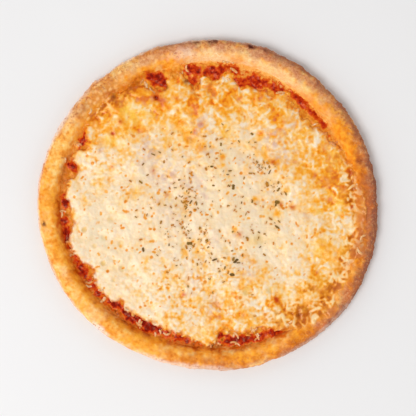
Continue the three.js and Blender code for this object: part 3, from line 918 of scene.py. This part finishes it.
def flake_kind(width, narrowing, curl, notch):
    """A leaf scrap: a thin, curled sheet that narrows to its ends."""
    select_none()
    bpy.ops.mesh.primitive_grid_add(x_subdivisions=5, y_subdivisions=2, size=1)
    kind = bpy.context.object
    points = points_of(kind)
    along, across = points[:, 0].copy(), points[:, 1].copy()
    points[:, 1] = across * width * np.sqrt(1 - narrowing * (2 * along) ** 2) + notch * np.sin(5 * along)
    points[:, 2] = curl * (2 * along) ** 2 + 0.5 * curl * np.abs(across)
    move_points(kind, points)
    thicken = kind.modifiers.new("leaf", "SOLIDIFY")
    thicken.thickness, thicken.offset = 0.12, 0
    bpy.ops.object.modifier_apply(modifier=thicken.name)
    return kind


def make_oregano():
    kinds = [flake_kind(*shape) for shape in FLAKE_KINDS]
    copies = []
    for number, (x, y, length, turn, tone) in enumerate(FLAKES):
        plump = 0.75 + 0.5 * scatter(number, 5)
        kind = kinds[number % len(kinds)]
        copies.append(copy_of(kind, x, y, turn, (length, length * plump, length), tone))
    oregano = joined("oregano", copies, kinds)
    points = points_of(oregano)
    cheese_top = read(softened(cheese_depth + carried, 1.5 * mm), points[:, 0], points[:, 1])
    points[:, 2] += cheese_top + FLAKE_LIFT
    move_points(oregano, points)
    return oregano


# ---- dried cheese shreds ----

# Kinds of shred: length, thickness in mm, and the bend at each step in degrees.
SHRED_KINDS = [(7, 2.4, 5), (6, 2.6, -9), (8, 2.2, 7), (7, 2, 13), (5, 2.8, 2), (7, 2, -11)]
SHRED_STEPS = 9
# Where they lie on the rim and the bare sauce: angle in degrees, inset and spread in mm, count.
SHRED_PLACES = [
    (82, 21, 6, 9), (100, 23, 4, 6), (118, 24, 4, 5), (155, 20.5, 3, 4), (162, 18, 3, 4), (183, 21, 3, 3),
    (200, 18, 4, 5), (213, 22.5, 4, 6), (222.5, 21, 3, 4), (239.5, 21.5, 4, 8), (249, 20.5, 3, 4),
    (290, 23, 4, 9), (281, 24, 5, 8), (57, 27, 4, 2),
]
EDGE_SHREDS = 16
SHRED_SAG, SHRED_RISE = 0.8 * mm, 0.5 * mm  # how far a shred bends to what lies under it
SHRED_LIFT = 0.05 * mm


def shred_kind(length, thickness, bend):
    """A shred: a flattened six-sided rod, drawn out step by step and then bent."""
    select_none()
    bpy.ops.mesh.primitive_circle_add(
        vertices=6, radius=0.5 * thickness * mm, fill_type="NGON", rotation=(0, math.pi / 2, 0)
    )
    kind = bpy.context.object
    bpy.ops.object.transform_apply(rotation=True)
    bpy.ops.object.mode_set(mode="EDIT")
    bpy.ops.mesh.select_all(action="SELECT")
    pace = length * mm / SHRED_STEPS
    for _ in range(SHRED_STEPS):
        bpy.ops.mesh.extrude_region_move(TRANSFORM_OT_translate={"value": (pace, 0, 0)})
    face_outwards()
    points = points_of(kind)
    step = points[:, 0] / pace
    taper = 0.35 + 0.65 * np.sin(np.pi * np.clip(step / SHRED_STEPS, 0.02, 0.98)) ** 0.4
    turns = np.radians(bend) * np.arange(SHRED_STEPS + 1)
    path_x = np.concatenate([[0], np.cumsum(pace * np.cos(turns[1:]))])
    path_y = np.concatenate([[0], np.cumsum(pace * np.sin(turns[1:]))])
    nearest = np.round(step).astype(int)
    across = points[:, 1] * taper
    points[:, 0] = path_x[nearest] - across * np.sin(turns[nearest]) - path_x.mean()
    points[:, 1] = path_y[nearest] + across * np.cos(turns[nearest]) - path_y.mean()
    points[:, 2] *= 0.28 * taper
    move_points(kind, points)
    return kind


def make_shreds(crust, sauce, cheese):
    kinds = [shred_kind(*shape) for shape in SHRED_KINDS]
    rng = np.random.default_rng(61)
    spots = []
    for middle, inset, spread, count in SHRED_PLACES:
        for _ in range((count + 1) // 2):
            along, inward = rng.normal(0, 0.6 * spread, 2)
            spots.append((math.radians(middle) + along * mm / MEAN_RADIUS, (inset + inward) * mm))
    for _ in range(EDGE_SHREDS):
        angle = rng.uniform(0, 2 * np.pi)
        spots.append((angle, float(cheese_inset(np.float64(angle))) + rng.normal(1.0, 1.2) * mm))
    copies = []
    for angle, inset in spots:
        x, y = place(inset, angle)
        scale = rng.uniform(0.55, 1.0)
        kind = kinds[rng.integers(len(kinds))]
        copies.append(copy_of(kind, x, y, rng.uniform(0, 6.3), (scale, scale, scale), rng.random()))
    shreds = joined("cheese_shreds", copies, kinds)
    points = points_of(shreds)
    x, y = points[:, 0], points[:, 1]
    resting = np.maximum.reduce([top_of(piece, x, y) for piece in (crust, sauce, cheese)])
    each = resting.reshape(len(copies), -1)
    middle = np.median(each, axis=1, keepdims=True)
    points[:, 2] += np.clip(each, middle - SHRED_SAG, middle + SHRED_RISE).ravel() + SHRED_LIFT
    move_points(shreds, points)
    return shreds


# ---- shader helpers ----


def colour(hex_code):
    """An sRGB colour code as the linear colour that a shader takes."""
    channels = [int(hex_code[i : i + 2], 16) / 255 for i in (0, 2, 4)]
    return (*[c / 12.92 if c <= 0.04045 else ((c + 0.055) / 1.055) ** 2.4 for c in channels], 1)


def feed(tree, node, inputs):
    """Gives each socket of a node a value, a colour code, or an output to link it to."""
    for socket, value in inputs.items():
        if isinstance(value, bpy.types.NodeSocket):
            tree.links.new(value, node.inputs[socket])
        else:
            node.inputs[socket].default_value = colour(value) if isinstance(value, str) else value


def add(tree, kind, inputs, **settings):
    """Adds a node."""
    made = tree.nodes.new("ShaderNode" + kind)
    for name, value in settings.items():
        setattr(made, name, value)
    feed(tree, made, inputs)
    return made


def object_place(tree):
    return add(tree, "TexCoord", {}).outputs["Object"]


def maths(tree, operation, first, second, clamp=False):
    return add(tree, "Math", {0: first, 1: second}, operation=operation, use_clamp=clamp).outputs[0]


def times(tree, first, second):
    return maths(tree, "MULTIPLY", first, second, clamp=True)


def plus(tree, first, second):
    return maths(tree, "ADD", first, second, clamp=True)


def between(tree, value, low, high, start=0.0, end=1.0):
    inputs = {"Value": value, "From Min": low, "From Max": high, "To Min": start, "To Max": end}
    return add(tree, "MapRange", inputs, interpolation_type="SMOOTHSTEP").outputs[0]


def marked(tree, name):
    """The values that the piece's points have for a mark."""
    return add(tree, "Attribute", {}, attribute_name=name).outputs["Fac"]


def mix(tree, share, first, second):
    """The first colour, with the second over it by its share."""
    inputs = {0: share, 6: first, 7: second}
    return add(tree, "Mix", inputs, data_type="RGBA", clamp_factor=True).outputs[2]


def stained(tree, toned, *layers):
    """Lays colours over a colour in turn: the mark that places each one, its strength and itself."""
    for name, strength, over in layers:
        toned = mix(tree, times(tree, marked(tree, name), strength), toned, over)
    return toned


def ramp(tree, value, *stops):
    """A band of colours: places from 0 to 1 and colour codes."""
    made = add(tree, "ValToRGB", {"Fac": value})
    band = made.color_ramp
    for element, (at, code) in zip(band.elements, (stops[0], stops[-1])):
        element.position, element.color = at, colour(code)
    for at, code in stops[1:-1]:
        band.elements.new(at).color = colour(code)
    return made.outputs["Color"]


def new_group(name, inputs, output, kind="NodeSocketFloat"):
    """An effect that several materials use, with named inputs and one output."""
    tree = bpy.data.node_groups.new(name, "ShaderNodeTree")
    for socket, value in inputs.items():
        made = tree.interface.new_socket(socket, in_out="INPUT", socket_type="NodeSocketFloat")
        made.default_value = value
    tree.interface.new_socket(output, in_out="OUTPUT", socket_type=kind)
    given, result = tree.nodes.new("NodeGroupInput"), tree.nodes.new("NodeGroupOutput")
    return tree, given.outputs, result.inputs[output]


def mottling_group():
    """Soft random blotches, from 0 to 1."""
    inputs = {"Size": 5 * mm, "Low": 0.35, "High": 0.65, "Roughness": 0.55}
    tree, given, mask = new_group("mottling", inputs, "Mask")
    scale = maths(tree, "DIVIDE", 1.0, given["Size"])
    settings = {"Vector": object_place(tree), "Scale": scale, "Detail": 3.0}
    blotches = add(tree, "TexNoise", {**settings, "Roughness": given["Roughness"]}).outputs["Fac"]
    tree.links.new(between(tree, blotches, given["Low"], given["High"]), mask)
    return tree


def skin_group():
    """Fine relief of a surface, at two sizes."""
    inputs = {"Coarse Size": 2 * mm, "Fine Size": 0.7 * mm, "Depth": 0.3 * mm, "Strength": 0.5}
    tree, given, normal = new_group("fine relief", inputs, "Normal", "NodeSocketVector")
    place_here = object_place(tree)
    heights = []
    for size in ("Coarse Size", "Fine Size"):
        settings = {"Vector": place_here, "Scale": maths(tree, "DIVIDE", 1.0, given[size]), "Detail": 2.0}
        heights.append(add(tree, "TexNoise", settings).outputs["Fac"])
    height = maths(tree, "ADD", heights[0], maths(tree, "MULTIPLY", heights[1], 0.4))
    bump = add(tree, "Bump", {"Height": height, "Distance": given["Depth"], "Strength": given["Strength"]})
    tree.links.new(bump.outputs[0], normal)
    return tree


MOTTLING, SKIN = mottling_group(), skin_group()


def mottling(tree, size, low=0.35, high=0.65, roughness=0.55):
    inputs = {"Size": size, "Low": low, "High": high, "Roughness": roughness}
    return add(tree, "Group", inputs, node_tree=MOTTLING).outputs["Mask"]


def uneven(tree, value, size, amount):
    """The value with mottling of the given size and amount added to it."""
    swing = maths(tree, "SUBTRACT", mottling(tree, size, 0.25, 0.75, 0.6), 0.5)
    return plus(tree, value, maths(tree, "MULTIPLY", swing, amount))


def skin(tree, coarse, fine, depth, strength):
    inputs = {"Coarse Size": coarse, "Fine Size": fine, "Depth": depth, "Strength": strength}
    return add(tree, "Group", inputs, node_tree=SKIN).outputs["Normal"]


def new_material(name):
    material = bpy.data.materials.new(name)
    material.use_nodes = True
    tree = material.node_tree
    return material, tree, tree.nodes["Principled BSDF"]


# ---- materials ----

OILY_GLEAM = (1, 0.68, 0.36, 1)  # reflections in the oil are tinted by it

# A pair of colours is the light and dark of one finish.
OILED = ("FFAE34", "F08A18")
DOUGH_WALL = ("D89A60", "C07C48")
PALE_DOUGH = ("FFE2B0", "FACA8C")
PINK_DOUGH = ("DE9C74", "C27450")
# Toasted brown, dark enough to also paint the shade on the rim's side away from the light.
BROWN_AND_SHADED_DOUGH = ("A8684C", "84483A")
# Soaked dough, dark enough to also paint the shade of the rim's inner slope.
SOAKED_AND_SHADED_DOUGH = ("DC6402", "A84000")
UNDERSIDE = ("E8B878", "BC8044")
OILY_SAUCE = ("F0A038", "D87818")
SHALLOW_SAUCE = ("FCC878", "F4AC50")
# Soaked sauce, darkened as painted shade under the rim's inner slope.
SOAKED_AND_SHADED_SAUCE = ("CC5C02", "983A00")
RUSTY_CHEESE = ("E8962E", "CC681C")
PALE_TABLE = ("EDECEC", "EBEAEA")
# Size in mm, range and strength of the mottling, and colour.
UNDERSIDE_SPOTS = [
    (3, 0.3, 0.7, 0.5, "CE9452"),
    (9, 0.5, 0.8, 0.9, "6E4022"),
    (5, 0.5, 0.75, 0.6, "F4DEBE"),
]


def underside_tone(tree):
    """Baked blotches, scorched spots and flour."""
    toned = mix(tree, mottling(tree, 16 * mm, 0.25, 0.75), *UNDERSIDE)
    for size, low, high, strength, over in UNDERSIDE_SPOTS:
        toned = mix(tree, times(tree, mottling(tree, size * mm, low, high), strength), toned, over)
    return toned


def crust_finish():
    material, tree, shader = new_material("baked crust")
    blotches = mottling(tree, 4.5 * mm)
    speckle = mottling(tree, 1.5 * mm, 0.36, 0.64, 0.65)
    grain = mottling(tree, 0.8 * mm, 0.35, 0.65, 0.7)
    light_specks = times(tree, mottling(tree, 1.6 * mm, 0.54, 0.68, 0.5), 0.45)
    baked = uneven(tree, marked(tree, "golden"), 2.5 * mm, 0.5)
    toned = stained(
        tree,
        ramp(tree, baked, (0, "FFD88C"), (0.4, "FFC062"), (0.75, "F8A444"), (1, "E48830")),
        ("wall", 1, mix(tree, speckle, *DOUGH_WALL)),
        ("pale", 1, mix(tree, speckle, *PALE_DOUGH)),
        ("pink", 1, mix(tree, speckle, *PINK_DOUGH)),
        # lighter bubble tops, a painted highlight; darker crevices between them, painted shade
        ("bubble", 0.6, "FAC07E"),
        ("crevice_shade", 0.7, "DC8832"),
        ("oiled", 1, mix(tree, blotches, *OILED)),
        # sauce soaked into the dough, with painted shade on the inner slope away from the light
        ("soak_and_shade", 1, mix(tree, blotches, *SOAKED_AND_SHADED_DOUGH)),
        # toasted brown, with painted shade on the rim's side away from the light
        ("brown_and_shade", 1, mix(tree, grain, *BROWN_AND_SHADED_DOUGH)),
        ("freckled", mottling(tree, 2 * mm, 0.5, 0.68, 0.5), "C06A3C"),
        ("freckled", light_specks, "F0C088"),
    )
    dusty = times(tree, marked(tree, "flour"), mottling(tree, 1.4 * mm, 0.25, 0.5, 0.65))
    toned = mix(tree, dusty, toned, "F8E0CE")
    reddish = plus(tree, times(tree, marked(tree, "flour"), marked(tree, "pink")), times(tree, dusty, 0.9))
    red_specks = times(tree, mottling(tree, 2.2 * mm, 0.55, 0.7), plus(tree, reddish, 0.2))
    toned = mix(tree, red_specks, toned, "B85E42")
    toned = stained(
        tree,
        toned,
        ("red", 1, "C03A0C"),
        ("under", 1, underside_tone(tree)),
        # scorched spots, with painted shade on the rim's outer edge at the far side from the light
        ("scorch_and_shade", mottling(tree, 2.6 * mm, 0.3, 0.5), "58221A"),
    )
    dry = plus(tree, marked(tree, "brown_and_shade"), plus(tree, marked(tree, "pink"), dusty))
    finish = {
        "Base Color": toned,
        "Roughness": between(tree, dry, 0, 1, 0.42, 0.8),
        "Specular IOR Level": 0.08,
        "Specular Tint": OILY_GLEAM,
        "Normal": skin(tree, 2.0 * mm, 0.7 * mm, 0.4 * mm, 0.55),
    }
    feed(tree, shader, finish)
    return material


def sauce_finish():
    material, tree, shader = new_material("cooked tomato sauce")
    blotches = mottling(tree, 3.5 * mm)
    oily = stained(
        tree,
        mix(tree, blotches, *OILY_SAUCE),
        ("shallow", 1, mix(tree, blotches, *SHALLOW_SAUCE)),
        ("oiled", 1, mix(tree, blotches, *OILED)),
        # soaked sauce, with painted shade at the foot of the rim's shaded slope
        ("soak_and_shade", 1, mix(tree, blotches, *SOAKED_AND_SHADED_SAUCE)),
    )
    red = uneven(tree, marked(tree, "red"), 3 * mm, 0.6)
    tomato = [(0, "F4A034"), (0.3, "E26A14"), (0.6, "CE3E08"), (0.85, "AC1C04"), (1, "800C02")]
    finish = {
        "Base Color": mix(tree, between(tree, red, 0.05, 0.4), oily, ramp(tree, red, *tomato)),
        "Roughness": 0.3,
        "Specular IOR Level": 0.3,
        "Specular Tint": OILY_GLEAM,
        "Coat Weight": 0.05,
        "Coat Roughness": 0.1,
        "Normal": skin(tree, 1.8 * mm, 0.7 * mm, 0.5 * mm, 0.6),
    }
    feed(tree, shader, finish)
    return material


def cheese_finish():
    material, tree, shader = new_material("melted mozzarella")
    blotches = mottling(tree, 4.5 * mm)
    tone = uneven(tree, marked(tree, "oil"), 1.8 * mm, 0.1)
    cream = [(0, "F8E5C8"), (0.14, "F8DEBA"), (0.3, "FAD092"), (0.48, "FCBA58")]
    oil = [(0.64, "FAA62C"), (0.84, "F48E12"), (1, "E26C0A")]
    amber = [(0, "F9D8A0"), (0.3, "F7C076"), (0.5, "F0A442"), (0.72, "E0841A"), (1, "B85A0C")]
    film = marked(tree, "film")
    toned = stained(
        tree,
        mix(tree, film, ramp(tree, tone, *cream, *oil), ramp(tree, tone, *amber)),
        ("pink", film, "D07C44"),
        # the rim's toasted brown and its painted shade, where the cheese film covers the rim
        ("brown_and_shade", film, "9C6248"),
        ("brim", 0.8, mix(tree, blotches, *OILED)),
        # soaked oil, with painted shade, where the cheese film covers the rim
        ("soak_and_shade", 0.7, "CC6810"),
        ("milky", 0.6, "F0DFC0"),
        ("mauve", 0.8, "DABAAC"),
        ("halo", 0.8, "D0985C"),
        ("yellow", 1, "FFC850"),
        ("pit", 0.8, "E4C078"),
    )
    drops = marked(tree, "drops")
    dark_drops = uneven(tree, drops, 6 * mm, 0.6)
    drop_tone = ramp(tree, dark_drops, (0.2, "F6B458"), (0.6, "EC9434"), (1, "D47A20"))
    toned = mix(tree, between(tree, drops, 0.08, 0.5), toned, drop_tone)
    toned = stained(
        tree,
        toned,
        ("rust", 0.8, mix(tree, mottling(tree, 2 * mm), *RUSTY_CHEESE)),
        ("burnt", 0.85, "8A4210"),
        ("bare", 1, "C44210"),
    )
    finish = {
        "Base Color": toned,
        "Roughness": between(tree, tone, 0.3, 0.8, 0.34, 0.22),
        "Specular IOR Level": 0.45,
        "Specular Tint": OILY_GLEAM,
        "Coat Weight": 0.16,
        "Coat Roughness": 0.16,
        "Subsurface Weight": 0.12,
        "Subsurface Radius": (1, 0.6, 0.3),
        "Subsurface Scale": 1.2 * mm,
        "Normal": skin(tree, 1.6 * mm, 0.6 * mm, 0.4 * mm, 0.6),
    }
    feed(tree, shader, finish)
    return material


def oregano_finish():
    material, tree, shader = new_material("dried oregano")
    dark = [(0, "5A3E1E"), (0.15, "846028"), (0.35, "A0742A")]
    pale = [(0.6, "BC7A26"), (0.8, "D07C26"), (1, "E0902C")]
    leaf = ramp(tree, marked(tree, "tone"), *dark, *pale)
    finish = {
        "Base Color": mix(tree, times(tree, mottling(tree, 0.6 * mm), 0.3), leaf, "AC8C44"),
        "Roughness": 0.75,
        "Specular IOR Level": 0.1,
        "Normal": skin(tree, 0.5 * mm, 0.2 * mm, 0.08 * mm, 0.5),
    }
    feed(tree, shader, finish)
    return material


def shreds_finish():
    material, tree, shader = new_material("dried cheese shreds")
    pale = ramp(tree, marked(tree, "tone"), (0, "F2CC9C"), (0.6, "E8B078"), (1, "DC9048"))
    finish = {
        "Base Color": mix(tree, mottling(tree, 2 * mm, 0.45, 0.65), pale, "E89A48"),
        "Roughness": 0.25,
        "Subsurface Weight": 0.1,
        "Subsurface Scale": 0.6 * mm,
        "Normal": skin(tree, 1.0 * mm, 0.4 * mm, 0.15 * mm, 0.5),
    }
    feed(tree, shader, finish)
    return material


def floor_finish():
    material, tree, shader = new_material("pale table")
    feed(tree, shader, {"Base Color": mix(tree, mottling(tree, 0.4), *PALE_TABLE), "Roughness": 0.7})
    return material


def dress(piece, material, slot, *nodes):
    piece.data.materials.clear()
    piece.data.materials.append(material)
    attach(piece, "root")
    if nodes:
        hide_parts(*nodes)


crust = make_crust()
sauce = make_sauce(crust)
cheese = make_cheese(crust)
dress(crust, crust_finish(), "crust", "crust")
dress(sauce, sauce_finish(), "tomato_sauce", "tomato_sauce")
dress(cheese, cheese_finish(), "cheese", "cheese")
dress(make_oregano(), oregano_finish(), "cheese", "cheese")
dress(make_shreds(crust, sauce, cheese), shreds_finish(), "cheese")

# ---- floor, lights and camera ----


FLOOR_SIZE = 30
WINDOW_AZIMUTH, WINDOW_ELEVATION = math.radians(216), math.radians(61)
WINDOW_DISTANCE = 2.2
WINDOW_SIZE = 1.0
WINDOW_POWER = 26
ROOM_BRIGHTNESS, OVERHEAD_BRIGHTNESS = 0.94, 0.12
VIEW_WIDTH = 332.8 * mm  # what the picture takes in, at the height of the pizza's top
VIEW_TOP = 8 * mm
VIEW_CENTRE = (-0.24 * mm, -2.72 * mm)
VIEW_DISTANCE = 1.1


def make_floor():
    select_none()
    bpy.ops.mesh.primitive_plane_add(size=FLOOR_SIZE)
    floor = bpy.context.object
    floor.name = floor.data.name = "floor"
    floor.data.materials.append(floor_finish())


def make_lights():
    flat = WINDOW_DISTANCE * math.cos(WINDOW_ELEVATION)
    height = WINDOW_DISTANCE * math.sin(WINDOW_ELEVATION)
    spot = Vector((flat * math.cos(WINDOW_AZIMUTH), flat * math.sin(WINDOW_AZIMUTH), height))
    bpy.ops.object.light_add(type="AREA", location=spot)
    key = bpy.context.object
    key.name = "window_light"
    key.rotation_euler = (-spot).to_track_quat("-Z", "Y").to_euler()
    key.data.size = WINDOW_SIZE
    key.data.energy = WINDOW_POWER


def make_room_light():
    """Light from all round the room, dim overhead."""
    world = bpy.data.worlds.new("soft room light")
    bpy.context.scene.world = world
    world.use_nodes = True
    tree = world.node_tree
    direction = add(tree, "TexCoord", {}).outputs["Generated"]
    upward = add(tree, "SeparateXYZ", {0: direction}).outputs["Z"]
    brightness = between(tree, upward, 0.6, 0.92, ROOM_BRIGHTNESS, OVERHEAD_BRIGHTNESS)
    feed(tree, tree.nodes["Background"], {"Color": "FFFFFF", "Strength": brightness})


def make_camera():
    bpy.ops.object.camera_add(location=(*VIEW_CENTRE, VIEW_DISTANCE), rotation=(0, 0, 0))
    camera = bpy.context.object
    camera.data.lens = camera.data.sensor_width * (VIEW_DISTANCE - VIEW_TOP) / VIEW_WIDTH
    bpy.context.scene.camera = camera


make_floor()
make_lights()
make_room_light()
make_camera()
bpy.context.scene.view_settings.view_transform = "Standard"
